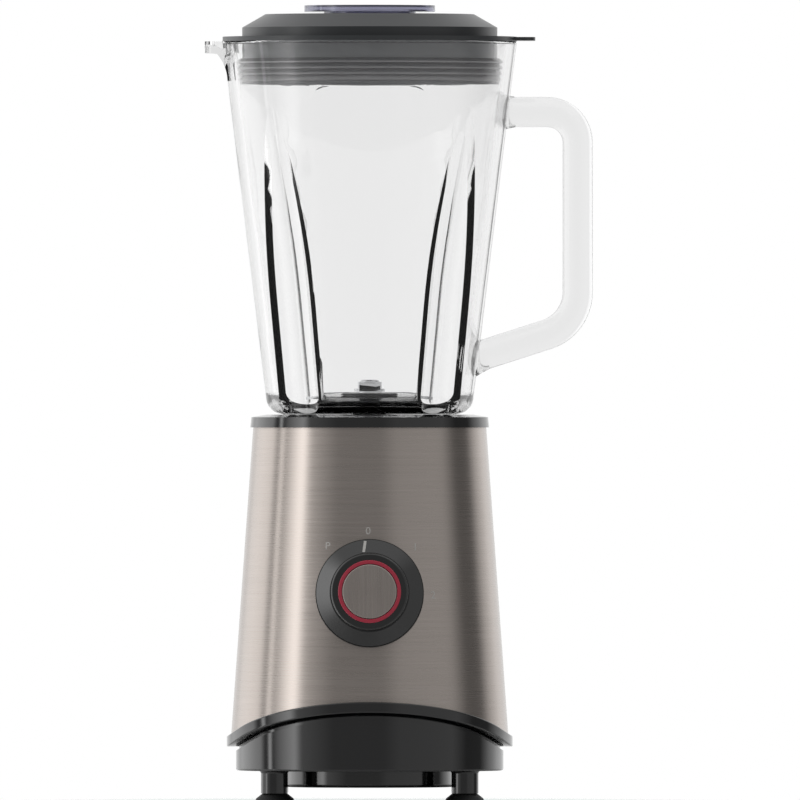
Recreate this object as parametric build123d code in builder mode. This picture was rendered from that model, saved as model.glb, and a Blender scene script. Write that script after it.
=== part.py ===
from build123d import *
from math import atan, cos, degrees, radians, sin, sqrt
import os

# Countertop blender: a glass jar with lid, cap and blades on a motor base with a turning switch knob.
# Origin on the jar and motor axis at floor level, +Z up, front towards -Y, spout towards -X,
# handle towards +X. Millimetres throughout.

os.makedirs("parts", exist_ok=True)

# ---- Driving dimensions: base -------------------------------------------------------------------
underside_z = 16.0  # floor to the underside of the base housing
housing_r = 65.4  # gloss housing under the trim band
housing_floor = 2.5
housing_wall = 2.5
neck_wall = 2.4
neck_rise = 25.0  # neck above the rear edge of the sleeve, which it centres
trim_r = 69.9  # outer radius of the arched trim band
trim_h = 5.4
groove_h = 1.9  # shadow groove under the band
groove_depth = 1.5
arch_rise = 17.3  # the band climbs by this much to the front
arch_knee = 14.7  # distance in front of the axis where the climb starts
arch_blend = 96.0
sleeve_z = 33.0  # rear bottom edge of the metal sleeve
sleeve_h = 150.7
sleeve_bottom_r = 67.8
sleeve_top_r = 57.0
sleeve_wall = 0.8
hub_r = 41.0  # exhaust hub under the housing
hub_drop = 8.1
hub_wall = 2.2
foot_x = 46.5
foot_y = 30.0
post_r = 6.6
cup_h = 5.1  # suction cup under each post
cup_r = 9.8

# ---- Driving dimensions: deck and drive ---------------------------------------------------------
deck_lip = 5.0
deck_crown = 1.3
deck_overhang = 1.4
deck_plate = 3.0
well_r = 43.2
well_depth = 22.0
well_floor = 3.0
pad_t = 2.0  # rubber pad that the jar foot stands on
shaft_r = 4.0
coupling_root_r = 8.3
coupling_tip_r = 11.3
coupling_teeth = 6
coupling_mesh = 5.5  # height over which the two halves overlap

# ---- Driving dimensions: knob -------------------------------------------------------------------
knob_z = 102.9
bezel_r = 26.4
skirt_r = 26.0
knob_r = 18.85
knob_front = 13.5  # front of the knob's rim above the sleeve
ring_r = 15.4
ring_inner_r = 13.45
knob_shaft_r = 3.0

# ---- Driving dimensions: jar, lid and cap -------------------------------------------------------
jar_foot_h = 20.3  # foot ring, up to the underside of the jar's body
jar_h = 202.4
jar_bottom_r = 49.77  # sharp lower corner of the straight taper
jar_top_r = 71.95
jar_wall = 5.0
jar_floor = 6.0
jar_floor_z_over_foot = 25.0
foot_ring_r = 42.5
foot_ring_wall = 6.0
jar_corner_r = 8.0
flute_r = 30.0  # hollow of the four long flutes on the diagonals
flute_depth = 5.0
flute_tip_h = 162.0  # where a flute runs out, above the jar's foot
flute_knee_h = 88.0  # full depth from here down
flute_wall = 4.2
spout_x = 80.7
handle_r = 7.4
handle_x = 101.7
handle_top_h = 167.9  # centre of the upper arm above the jar's foot
handle_low_h = 64.0
handle_root_h = 48.4
handle_top_fillet = 15.0
handle_low_fillet = 22.0
lid_flange_t = 2.3
lid_dome_r = 62.4
lid_top_r = 51.1
lid_side_h = 6.8
lid_top_h = 13.3
lid_wall = 2.2
plug_gap = 1.97  # lid plug to the glass at its lower end
lid_plug_h = 20.9
cap_flange_r = 32.0
cap_flange_t = 3.1
cap_neck_r = 22.5
cap_neck_h = 1.2
cap_tube_r = 21.5
cap_tube_h = 28.0
cap_wall = 1.8

# ---- Fits and clearances ------------------------------------------------------------------------
slip = 0.05  # pieces assembled into one another and then fixed
running = 0.04  # shafts in their bushes, radial
pin_fit = 0.08  # interlock pin in its guide, radial
loose = 0.3  # separable pieces that must not bind
seal_gap = 0.35  # lid gasket to the glass
tooth_gap = 0.4  # drive coupling halves

# ---- Derived places -----------------------------------------------------------------------------
sleeve_top_z = sleeve_z + sleeve_h
deck_edge_z = sleeve_top_z + deck_lip
deck_top_z = deck_edge_z + deck_crown
well_z = deck_top_z - well_depth
deck_under_z = well_z - well_floor
jar_z = well_z + pad_t
jar_rim_z = jar_z + jar_h
jar_under_z = jar_z + jar_floor_z_over_foot - jar_floor
jar_floor_z = jar_z + jar_floor_z_over_foot
neck_top_z = sleeve_z + neck_rise
neck_r = housing_r - groove_depth - 1.1
floor_top_z = underside_z + housing_floor
lid_z = jar_rim_z
lid_top_z = lid_z + lid_top_h
taper = (sleeve_bottom_r - sleeve_top_r) / sleeve_h
tilt = degrees(atan(taper))
jar_body_z = jar_z + jar_foot_h
jar_slope = (jar_top_r - jar_bottom_r) / (jar_rim_z - jar_body_z)


def sleeve_radius(z):
    """Outer radius of the metal sleeve at height z."""
    return sleeve_bottom_r - taper * (z - sleeve_z)


def jar_radius(z):
    """Outer radius of the glass at height z."""
    return jar_bottom_r + jar_slope * (z - jar_body_z)


def glass_bore(z):
    """Inner radius of the glass at height z."""
    return jar_radius(z) - jar_wall * sqrt(1 + jar_slope**2)


lid_plug_r = glass_bore(jar_rim_z - lid_plug_h) - plug_gap


def under_arch(drop):
    """Everything below the arched line of the trim band's top, lowered by drop."""
    reach = 2 * trim_r
    slope = arch_rise / (trim_r - arch_knee)
    level = sleeve_z - drop
    front = (-reach, level + slope * (reach - arch_knee))
    with BuildPart() as block:
        with BuildSketch(Plane.YZ) as side:
            with BuildLine():
                FilletPolyline((reach, level), (-arch_knee, level), front, radius=arch_blend)
                Polyline(front, (-reach, -reach), (reach, -reach), (reach, level))
            make_face()
        extrude(side.sketch, amount=reach, both=True)
    return block.part


def sleeve_core():
    """The solid cone whose face is the outside of the metal sleeve."""
    low = sleeve_z - 10
    with BuildPart() as core:
        with BuildSketch(Plane.XZ):
            Polygon(
                (0, low), (sleeve_radius(low), low), (sleeve_top_r, sleeve_top_z), (0, sleeve_top_z), align=None,
            )
        revolve(axis=Axis.Z)
    return core.part


def jar_core():
    """The solid cone whose face is the outside of the glass."""
    with BuildPart() as core:
        with BuildSketch(Plane.XZ):
            Polygon(
                (0, jar_body_z), (jar_bottom_r, jar_body_z), (jar_top_r, jar_rim_z), (0, jar_rim_z), align=None,
            )
        revolve(axis=Axis.Z)
    return core.part


def mirrored(x, y):
    """The four points (+-x, +-y)."""
    return [(x, y), (-x, y), (-x, -y), (x, -y)]


# ==== Base housing and feet ======================================================================
tie_x, tie_y = 30.2, 38.6  # tie screws that clamp deck, sleeve and housing
tie_r = 2.0
tie_boss_r = 4.5
tie_boss_h = 7.5
tie_head_r = 3.9
hub_open_r = 31.0
hub_screw_at = 35.0
hub_screw_r = 1.5
hub_boss_r = 3.2
hub_boss_h = 6.0
stem_r = 2.4
stem_h = 5.0

with BuildPart() as base_housing:
    with BuildSketch(Plane.XY.offset(underside_z)):
        Circle(housing_r)
    extrude(amount=neck_top_z - underside_z)
    add(under_arch(trim_h + groove_h), mode=Mode.INTERSECT)
    fillet(base_housing.edges().group_by(Axis.Z)[0], radius=1.0)
    with BuildSketch(Plane.XY.offset(floor_top_z)):
        Circle(neck_r)
    extrude(amount=neck_top_z - floor_top_z)
    with BuildSketch(Plane.XY.offset(underside_z)):
        with Locations(*mirrored(foot_x, foot_y)):
            Circle(post_r)
    extrude(amount=cup_h - underside_z)
    posts = base_housing.edges().filter_by(GeomType.CIRCLE).filter_by(lambda e: abs(e.radius - post_r) < 0.01)
    fillet(posts.filter_by_position(Axis.Z, underside_z - 0.1, underside_z + 0.1), radius=1.2)
    ledge_z = sleeve_z - trim_h - groove_h - 1.5
    with BuildSketch(Plane.XZ):
        Polygon(
            (0, floor_top_z), (housing_r - housing_wall, floor_top_z),
            (housing_r - housing_wall, ledge_z - 3),
            (neck_r - neck_wall, ledge_z), (neck_r - neck_wall, neck_top_z), (0, neck_top_z), align=None,
        )
    revolve(axis=Axis.Z, mode=Mode.SUBTRACT)
    with BuildSketch(Plane.XY.offset(floor_top_z)):
        with Locations(*mirrored(tie_x, tie_y)):
            Circle(tie_boss_r + 1.2)
    extrude(amount=tie_boss_h)
    with BuildSketch(Plane.XY.offset(floor_top_z)):
        with PolarLocations(hub_screw_at, 4):
            Circle(hub_boss_r)
    extrude(amount=hub_boss_h)
    with BuildSketch(Plane.XY.offset(underside_z)):
        Circle(hub_open_r)
        with Locations(*mirrored(tie_x, tie_y)):
            Circle(tie_r + 0.2)
        with PolarLocations(hub_screw_at, 4):
            Circle(hub_screw_r + slip)
    extrude(amount=housing_floor + tie_boss_h, mode=Mode.SUBTRACT)
    with BuildSketch(Plane.XY.offset(underside_z)):
        with Locations(*mirrored(tie_x, tie_y)):
            Circle(tie_head_r + loose)
    extrude(amount=4.0, mode=Mode.SUBTRACT)
    with BuildSketch(Plane.XY.offset(cup_h)):
        with Locations(*mirrored(foot_x, foot_y)):
            Circle(stem_r + slip)
    extrude(amount=stem_h + 0.5, mode=Mode.SUBTRACT)
base_housing.part.label = "base_housing"
export_step(base_housing.part, "parts/base_housing.step")

# Four suction feet: a stem pressed into the post, a flared cup with a hollow under it.
with BuildPart() as suction_feet:
    for x, y in mirrored(foot_x, foot_y):
        foot_plane = Plane(origin=(x, y, 0), x_dir=(1, 0, 0), z_dir=(0, -1, 0))
        with BuildSketch(foot_plane):
            with BuildLine():
                Polyline(
                    (0, 1.6), (cup_r - 3.5, 1.1), (cup_r - 1.6, 0), (cup_r, 0), (cup_r, 0.5),
                    (cup_r - 0.7, 2.0),
                    (5.2, cup_h), (stem_r, cup_h), (stem_r, cup_h + stem_h), (0, cup_h + stem_h),
                    close=True,
                )
            make_face()
        revolve(axis=Axis((x, y, 0), (0, 0, 1)))
suction_feet.part.label = "suction_feet"
export_step(suction_feet.part, "parts/suction_feet.step")

# Exhaust hub under the housing, with two rings of slots in its bottom.
hub_bottom_z = underside_z - hub_drop
hub_plate = 2.0
with BuildPart() as vent_hub:
    with BuildSketch(Plane.XY.offset(hub_bottom_z)):
        Circle(hub_r)
    extrude(amount=hub_drop)
    fillet(vent_hub.edges().group_by(Axis.Z)[0], radius=1.5)
    with BuildSketch(Plane.XY.offset(hub_bottom_z + hub_plate)):
        Circle(hub_r - hub_wall)
    extrude(amount=hub_drop, mode=Mode.SUBTRACT)
    with BuildSketch(Plane.XY.offset(hub_bottom_z)):
        with PolarLocations(hub_screw_at, 4):
            Circle(hub_boss_r)
    extrude(amount=hub_drop)
    with BuildSketch(Plane.XY.offset(hub_bottom_z)):
        with PolarLocations(hub_screw_at, 4):
            Circle(hub_screw_r + 0.1)
        with PolarLocations(21.5, 16, start_angle=11.25):
            SlotOverall(13.0, 3.2)
        with PolarLocations(9.0, 8, start_angle=22.5):
            SlotOverall(7.0, 2.6)
    extrude(amount=hub_drop, mode=Mode.SUBTRACT)
    with BuildSketch(Plane.XY.offset(hub_bottom_z)):
        with PolarLocations(hub_screw_at, 4):
            Circle(2.9)
    extrude(amount=2.6, mode=Mode.SUBTRACT)
vent_hub.part.label = "vent_hub"
export_step(vent_hub.part, "parts/vent_hub.step")


def cross_screws(points, shank_r, head_r, seat_z, head_h, length):
    """Upright pan-head screws with cross recesses; heads hang below seat_z, shanks rise above it."""
    with BuildPart() as screws:
        with BuildSketch(Plane.XY.offset(seat_z - head_h)):
            with Locations(*points):
                Circle(head_r)
        extrude(amount=head_h)
        chamfer(screws.edges().group_by(Axis.Z)[0], length=0.35 * head_h)
        with BuildSketch(Plane.XY.offset(seat_z)):
            with Locations(*points):
                Circle(shank_r)
        extrude(amount=length)
        with BuildSketch(Plane.XY.offset(seat_z - head_h)):
            with Locations(*points):
                Rectangle(1.1 * head_r, 0.25 * head_r)
                Rectangle(0.25 * head_r, 1.1 * head_r)
        extrude(amount=0.5 * head_h, mode=Mode.SUBTRACT)
    return screws


hub_screw_points = [(hub_screw_at, 0), (0, hub_screw_at), (-hub_screw_at, 0), (0, -hub_screw_at)]
hub_screws = cross_screws(hub_screw_points, hub_screw_r, 2.7, hub_bottom_z + 2.6, 2.2, 11.5)
hub_screws.part.label = "hub_screws"
export_step(hub_screws.part, "parts/hub_screws.step")

# ==== Trim band and metal sleeve =================================================================
trim_bore = neck_r + 0.1
with BuildPart() as trim_band:
    with BuildSketch(Plane.XY.offset(0)):
        Circle(trim_r)
        Circle(trim_bore, mode=Mode.SUBTRACT)
    extrude(amount=sleeve_z + 2 * arch_rise)
    add(under_arch(0), mode=Mode.INTERSECT)
    add(under_arch(trim_h), mode=Mode.SUBTRACT)
    outer_rims = trim_band.edges().filter_by(
        lambda e: all(abs((e @ t).X ** 2 + (e @ t).Y ** 2 - trim_r**2) < 1 for t in (0.1, 0.35, 0.6, 0.85))
    )
    fillet(outer_rims, radius=0.7)
with BuildPart() as trim_foot:
    with BuildSketch(Plane.XY.offset(0)):
        Circle(housing_r - groove_depth)
        Circle(trim_bore, mode=Mode.SUBTRACT)
    extrude(amount=sleeve_z + 2 * arch_rise)
    add(under_arch(trim_h), mode=Mode.INTERSECT)
    add(under_arch(trim_h + groove_h), mode=Mode.SUBTRACT)
with BuildPart() as lower_trim:
    add(trim_band.part)
    add(trim_foot.part)
lower_trim.part.label = "lower_trim"
export_step(lower_trim.part, "parts/lower_trim.step")

knob_normal = Vector(0, -cos(radians(tilt)), sin(radians(tilt)))
knob_plane = Plane(origin=(0, -sleeve_radius(knob_z), knob_z), x_dir=(1, 0, 0), z_dir=knob_normal)
inlet_z = sleeve_z + 35.0
inlet_hole_r = 7.3
inlet_plane = Plane(
    origin=(0, sleeve_radius(inlet_z), inlet_z), x_dir=(-1, 0, 0),
    z_dir=(0, cos(radians(tilt)), sin(radians(tilt)))
)
bushing_r = 4.9

with BuildPart() as body_sleeve:
    low = sleeve_z - 6
    with BuildSketch(Plane.XZ):
        Polygon(
            (sleeve_radius(low), low), (sleeve_top_r, sleeve_top_z),
            (sleeve_top_r - sleeve_wall, sleeve_top_z), (sleeve_radius(low) - sleeve_wall, low), align=None,
        )
    revolve(axis=Axis.Z)
    add(under_arch(0), mode=Mode.SUBTRACT)
    with BuildSketch(knob_plane.offset(-5)):
        Circle(bushing_r + 0.2)
    extrude(amount=10, mode=Mode.SUBTRACT)
    with BuildSketch(inlet_plane.offset(-5)):
        Circle(inlet_hole_r)
    extrude(amount=10, mode=Mode.SUBTRACT)
body_sleeve.part.label = "body_sleeve"
export_step(body_sleeve.part, "parts/body_sleeve.step")

# Bushing of the cord inlet: flanges on both sides of the sleeve and a straight bore for the cord.
inlet_bore_r = 3.75
inlet_out = 3.5
inlet_in = 6.0
with BuildPart() as cord_inlet:
    with BuildSketch(inlet_plane.offset(-inlet_in)):
        Circle(inlet_hole_r - 0.1)
    extrude(amount=inlet_in + inlet_out)
    with BuildSketch(inlet_plane):
        Circle(10.0)
    extrude(amount=inlet_out)
    fillet(cord_inlet.edges().sort_by(Axis(inlet_plane.origin, inlet_plane.z_dir))[-1], radius=1.2)
    with BuildSketch(inlet_plane.offset(-inlet_in)):
        Circle(8.6)
    extrude(amount=inlet_in - 2.2)
    with BuildSketch(inlet_plane.offset(-inlet_in)):
        Circle(inlet_bore_r)
    extrude(amount=inlet_in + inlet_out, mode=Mode.SUBTRACT)
cord_inlet.part.label = "cord_inlet"
export_step(cord_inlet.part, "parts/cord_inlet.step")

# ==== Top deck with the jar well =================================================================
deck_r = sleeve_top_r + deck_overhang
spigot_r = sleeve_top_r - sleeve_wall - loose
collar_r = 10.0
collar_h = 2.5
seal_r = 5.5
boss_low_z = deck_under_z - 15.0
mount_x, mount_y = 22.0, 16.0  # motor hangers
mount_boss_r = 4.5
lug_in = foot_ring_r - 2.3
lug_w = 7.0
lug_h = 12.0
pin_at = foot_ring_r - foot_ring_wall / 2
pin_r = 1.5
guide_h = 4.0
microswitch_t = 6.4
microswitch_w = 20.0
microswitch_top_z = deck_under_z - 16.0
microswitch_h = 10.0
hanger_y = pin_at + microswitch_t / 2

with BuildPart() as top_deck:
    with BuildSketch(Plane.XZ):
        with BuildLine():
            Polyline(
                (seal_r, deck_under_z), (well_r + 2.5, deck_under_z),
                (well_r + 2.5, deck_edge_z - deck_plate),
                (spigot_r - 2.4, deck_edge_z - deck_plate), (spigot_r - 2.4, sleeve_top_z - 8),
                (spigot_r, sleeve_top_z - 8), (spigot_r, sleeve_top_z), (deck_r, sleeve_top_z),
                (deck_r - 0.5, deck_edge_z), (deck_r - 7.8, deck_top_z), (well_r, deck_top_z),
                (well_r, well_z),
                (collar_r, well_z), (collar_r, well_z + collar_h), (seal_r, well_z + collar_h), close=True,
            )
        profile = make_face()
        fillet(profile.vertices().sort_by_distance((deck_r - 0.5, 0, deck_edge_z))[0], radius=0.9)
        fillet(profile.vertices().sort_by_distance((well_r, 0, deck_top_z))[0], radius=1.0)
    revolve(axis=Axis.Z)
    with BuildSketch(Plane.XY.offset(well_z)):
        with PolarLocations((lug_in + well_r + 1) / 2, 4, start_angle=45):
            Rectangle(well_r + 1 - lug_in, lug_w)
    extrude(amount=lug_h)
    with BuildSketch(Plane.XY.offset(boss_low_z)):
        with Locations(*mirrored(tie_x, tie_y)):
            Circle(tie_boss_r)
        with Locations(*mirrored(mount_x, mount_y)):
            Circle(mount_boss_r)
    extrude(amount=deck_under_z - boss_low_z)
    with BuildSketch(Plane.XY.offset(boss_low_z)):
        with Locations(*mirrored(tie_x, tie_y), *mirrored(mount_x, mount_y)):
            Circle(tie_r + slip)
    extrude(amount=12.5, mode=Mode.SUBTRACT)
    with BuildSketch(Plane.XY.offset(deck_under_z - guide_h)):
        with Locations((0, pin_at)):
            Circle(3.5)
    extrude(amount=guide_h)
    with BuildSketch(Plane.XY.offset(deck_under_z - guide_h)):
        with Locations((0, pin_at)):
            Circle(pin_r + pin_fit)
    extrude(amount=guide_h + well_floor, mode=Mode.SUBTRACT)
    with BuildSketch(Plane.XY.offset(deck_under_z)):
        with Locations((0, hanger_y + 1.0)):
            Rectangle(microswitch_w, 2.0)
    extrude(amount=microswitch_top_z - microswitch_h - deck_under_z)
top_deck.part.label = "top_deck"
export_step(top_deck.part, "parts/top_deck.step")

with BuildPart() as seat_pad:
    with BuildSketch(Plane.XY.offset(well_z)):
        Circle(lug_in - 0.6)
        Circle(foot_ring_r - foot_ring_wall + 0.3, mode=Mode.SUBTRACT)
        with Locations((0, pin_at)):
            Circle(pin_r + 0.8, mode=Mode.SUBTRACT)
    extrude(amount=pad_t)
seat_pad.part.label = "seat_pad"
export_step(seat_pad.part, "parts/seat_pad.step")

with BuildPart() as shaft_seal:
    with BuildSketch(Plane.XY.offset(deck_under_z + 0.5)):
        Circle(seal_r - slip)
        Circle(shaft_r + running, mode=Mode.SUBTRACT)
    extrude(amount=well_floor + collar_h - 0.5)
shaft_seal.part.label = "shaft_seal"
export_step(shaft_seal.part, "parts/shaft_seal.step")

# Spacer tubes between housing and deck, and the long screws that clamp the base together.
tube_low_z = floor_top_z + tie_boss_h
with BuildPart() as tie_tubes:
    with BuildSketch(Plane.XY.offset(tube_low_z)):
        with Locations(*mirrored(tie_x, tie_y)):
            Circle(tie_boss_r)
            Circle(tie_r + 0.2, mode=Mode.SUBTRACT)
    extrude(amount=boss_low_z - tube_low_z)
tie_tubes.part.label = "tie_tubes"
export_step(tie_tubes.part, "parts/tie_tubes.step")

tie_seat_z = underside_z + 4.0
tie_screws = cross_screws(
    mirrored(tie_x, tie_y), tie_r, tie_head_r, tie_seat_z, 3.0, boss_low_z + 10.0 - tie_seat_z
)
tie_screws.part.label = "tie_screws"
export_step(tie_screws.part, "parts/tie_screws.step")

# ==== Motor: two-pole commutator motor hung under the deck =======================================
stack_h = 25.0
stator_x, stator_y = 70.0, 57.0
bore_r = 19.1
plate_t = 4.0
plate_gap = 8.0  # rubber between the upper bracket and the deck's bosses
upper_leg = 17.0
lower_leg = 36.0
plate_top_z = boss_low_z - plate_gap
stack_top_z = plate_top_z - plate_t - upper_leg
stack_z = stack_top_z - stack_h
low_plate_z = stack_z - lower_leg
through_x, through_y = 30.5, 23.5
through_r = 1.9
leg_r = 3.9
bush_r = 8.0
bush_h = 7.0
coil_over = 9.5
core_r = 18.6
comm_r = 11.5

with BuildPart() as stator_core:
    with BuildSketch(Plane.XY.offset(stack_z)):
        RectangleRounded(stator_x, stator_y, 8.0)
        Circle(bore_r, mode=Mode.SUBTRACT)
        for side in (-1, 1):
            for half in (-1, 1):
                with Locations((side * 22.0, half * 14.5)):
                    RectangleRounded(10.0, 11.0, 2.0, mode=Mode.SUBTRACT)
        with Locations(*mirrored(through_x, through_y)):
            Circle(through_r + 0.2, mode=Mode.SUBTRACT)
    extrude(amount=stack_h)
stator_core.part.label = "stator_core"
export_step(stator_core.part, "parts/stator_core.step")

# Each field coil is a rectangular winding round one pole, through the two windows beside it.
with BuildPart() as field_coils:
    for start in (20.5, -26.3):
        with BuildSketch(Plane.YZ.offset(start)):
            with Locations((0, stack_z + stack_h / 2)):
                RectangleRounded(38.6, stack_h + 2 * coil_over, 7.0)
                RectangleRounded(20.6, stack_h + 1.0, 1.5, mode=Mode.SUBTRACT)
        extrude(amount=5.8)
field_coils.part.label = "field_coils"
export_step(field_coils.part, "parts/field_coils.step")


def motor_bracket(plate_z, leg_z, leg_h, boss_z, boss_h, bush_z):
    """Cast bracket: a windowed plate, four legs round the through screws and a cup for the bush."""
    with BuildPart() as bracket:
        with BuildSketch(Plane.XY.offset(plate_z)):
            RectangleRounded(stator_x, stator_y, 8.0)
            with Locations((0, 20.0), (0, -20.0)):
                SlotOverall(24.0, 8.0, mode=Mode.SUBTRACT)
            with Locations((24.5, 0), (-24.5, 0)):
                SlotOverall(13.0, 9.0, rotation=90, mode=Mode.SUBTRACT)
        extrude(amount=plate_t)
        with BuildSketch(Plane.XY.offset(leg_z)):
            with Locations(*mirrored(through_x, through_y)):
                Circle(leg_r)
        extrude(amount=leg_h)
        with BuildSketch(Plane.XY.offset(boss_z)):
            Circle(bush_r + 3.5)
        extrude(amount=boss_h)
        with BuildSketch(Plane.XY.offset(bush_z)):
            Circle(bush_r + slip)
        extrude(amount=bush_h, mode=Mode.SUBTRACT)
        with BuildSketch(Plane.XY.offset(min(plate_z, boss_z, leg_z))):
            Circle(shaft_r + 1.5)
            with Locations(*mirrored(through_x, through_y)):
                Circle(through_r + 0.2)
        extrude(amount=plate_t + leg_h + boss_h, mode=Mode.SUBTRACT)
    return bracket


upper_bush_z = plate_top_z - plate_t + 2.0
upper_casting = motor_bracket(
    plate_top_z - plate_t, stack_top_z, upper_leg, plate_top_z - plate_t, plate_t + 5.0, upper_bush_z
)
with BuildPart() as upper_bracket:
    add(upper_casting.part)
    with BuildSketch(Plane.XY.offset(plate_top_z - plate_t)):
        with Locations(*mirrored(mount_x, mount_y)):
            Circle(tie_r + 0.2)
    extrude(amount=plate_t, mode=Mode.SUBTRACT)
upper_bracket.part.label = "upper_bracket"
export_step(upper_bracket.part, "parts/upper_bracket.step")

lower_bush_z = low_plate_z - 2.0
brush_z = low_plate_z + plate_t + 14.0
with BuildPart() as lower_bracket:
    add(motor_bracket(
        low_plate_z, low_plate_z + plate_t, lower_leg - plate_t, low_plate_z - 4.0, plate_t + 4.0,
        lower_bush_z
    ).part)
    with BuildSketch(Plane.XY.offset(low_plate_z + plate_t)):
        with Locations((0, 26.0), (0, -26.0)):
            Rectangle(10.0, 4.0)
    extrude(amount=brush_z - 5.5 - low_plate_z - plate_t)
lower_bracket.part.label = "lower_bracket"
export_step(lower_bracket.part, "parts/lower_bracket.step")

with BuildPart() as motor_bushes:
    for z in (upper_bush_z, lower_bush_z):
        with BuildSketch(Plane.XY.offset(z)):
            Circle(bush_r)
            Circle(shaft_r + running, mode=Mode.SUBTRACT)
        extrude(amount=bush_h)
motor_bushes.part.label = "motor_bushes"
export_step(motor_bushes.part, "parts/motor_bushes.step")

motor_screws = cross_screws(
    mirrored(through_x, through_y), through_r, 3.4, low_plate_z, 2.6, plate_top_z - low_plate_z + 4.5
)
motor_screws.part.label = "motor_screws"
export_step(motor_screws.part, "parts/motor_screws.step")

with BuildPart() as motor_nuts:
    with BuildSketch(Plane.XY.offset(plate_top_z)):
        with Locations(*mirrored(through_x, through_y)):
            RegularPolygon(3.5, 6, major_radius=False)
            Circle(through_r + slip, mode=Mode.SUBTRACT)
    extrude(amount=3.2)
motor_nuts.part.label = "motor_nuts"
export_step(motor_nuts.part, "parts/motor_nuts.step")

# Rubber mounts between the motor and the deck, waisted so that they flex.
with BuildPart() as motor_mounts:
    for x, y in mirrored(mount_x, mount_y):
        mount_plane = Plane(origin=(x, y, plate_top_z), x_dir=(1, 0, 0), z_dir=(0, -1, 0))
        with BuildSketch(mount_plane):
            Polygon(
                (tie_r + 0.3, 0), (6.0, 0), (6.0, 2.2), (4.8, 3.2), (4.8, plate_gap - 3.2),
                (6.0, plate_gap - 2.2),
                (6.0, plate_gap), (tie_r + 0.3, plate_gap), align=None,
            )
        revolve(axis=Axis((x, y, 0), (0, 0, 1)))
motor_mounts.part.label = "motor_mounts"
export_step(motor_mounts.part, "parts/motor_mounts.step")

mount_screws = cross_screws(
    mirrored(mount_x, mount_y), tie_r, 3.6, plate_top_z - plate_t, 2.6, plate_t + plate_gap + 11.0
)
mount_screws.part.label = "mount_screws"
export_step(mount_screws.part, "parts/mount_screws.step")

# Brass brush boxes on the lower bracket, with carbon brushes against the commutator.
brush_w, brush_h = 6.0, 8.0
with BuildPart() as brush_holders:
    for side in (-1, 1):
        with BuildSketch(Plane.XZ.offset(side * 14.0)):
            with Locations((0, brush_z)):
                Rectangle(brush_w + 2.4, brush_h + 3.0)
                Rectangle(brush_w + 0.2, brush_h + 0.2, mode=Mode.SUBTRACT)
        extrude(amount=side * 19.0)
        with BuildSketch(Plane.XZ.offset(side * 33.0)):
            with Locations((0, brush_z)):
                Rectangle(brush_w + 2.4, brush_h + 3.0)
        extrude(amount=side * 1.5)
brush_holders.part.label = "brush_holders"
export_step(brush_holders.part, "parts/brush_holders.step")

with BuildPart() as carbon_brushes:
    for side in (-1, 1):
        with BuildSketch(Plane.XZ.offset(side * 9.0)):
            with Locations((0, brush_z)):
                Rectangle(brush_w, brush_h)
        extrude(amount=side * 17.0)
    with BuildSketch(Plane.XY.offset(brush_z - brush_h)):
        Circle(comm_r + 0.08)
    extrude(amount=2 * brush_h, mode=Mode.SUBTRACT)
carbon_brushes.part.label = "carbon_brushes"
export_step(carbon_brushes.part, "parts/carbon_brushes.step")

# ==== Rotor ======================================================================================
fan_z = low_plate_z - 19.0
fan_r = 30.0
fan_h = 10.0
slots = 12
coupling_z = well_z + collar_h + 0.8
coupling_neck = 2.7
star_z = coupling_z + coupling_neck
star_h = 6.0
shaft_top_z = star_z + star_h - 1.0

with BuildPart() as motor_shaft:
    with BuildSketch(Plane.XY.offset(fan_z - 2)):
        Circle(shaft_r)
    extrude(amount=shaft_top_z - fan_z + 2)
    chamfer(motor_shaft.edges().group_by(Axis.Z)[0], length=0.5)
motor_shaft.part.label = "motor_shaft"
export_step(motor_shaft.part, "parts/motor_shaft.step")

with BuildPart() as armature_core:
    with BuildSketch(Plane.XY.offset(stack_z)):
        Circle(core_r)
        Circle(shaft_r + slip, mode=Mode.SUBTRACT)
        with PolarLocations(12.8, slots):
            Rectangle(7.6, 3.4, mode=Mode.SUBTRACT)
        with PolarLocations(17.5, slots):
            Rectangle(4.0, 1.5, mode=Mode.SUBTRACT)
    extrude(amount=stack_h)
armature_core.part.label = "armature_core"
export_step(armature_core.part, "parts/armature_core.step")

with BuildPart() as armature_windings:
    with BuildSketch(Plane.XY.offset(stack_z - 8)):
        with PolarLocations(12.8, slots):
            Rectangle(7.2, 3.0)
    extrude(amount=stack_h + 16)
    for z in (stack_z - 8.5, stack_top_z + 0.5):
        with BuildSketch(Plane.XY.offset(z)):
            Circle(16.8)
            Circle(shaft_r + 2.0, mode=Mode.SUBTRACT)
        extrude(amount=8.0)
    for end in (0, -1):
        fillet(armature_windings.edges().group_by(Axis.Z)[end].sort_by(lambda e: e.length)[-1], radius=2.5)
armature_windings.part.label = "armature_windings"
export_step(armature_windings.part, "parts/armature_windings.step")

comm_h = 15.0
comm_z = brush_z - comm_h / 2
with BuildPart() as commutator:
    with BuildSketch(Plane.XY.offset(comm_z)):
        Circle(comm_r)
    extrude(amount=comm_h)
    with BuildSketch(Plane.XY.offset(comm_z + comm_h)):
        Circle(comm_r + 1.4)
    extrude(amount=2.0)
    with BuildSketch(Plane.XY.offset(comm_z)):
        Circle(shaft_r + slip)
    extrude(amount=comm_h + 2, mode=Mode.SUBTRACT)
    with BuildSketch(Plane.XY.offset(comm_z)):
        with PolarLocations(comm_r + 1.2, 2 * slots):
            Rectangle(3.8, 0.5)
    extrude(amount=comm_h + 2, mode=Mode.SUBTRACT)
commutator.part.label = "commutator"
export_step(commutator.part, "parts/commutator.step")

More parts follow.
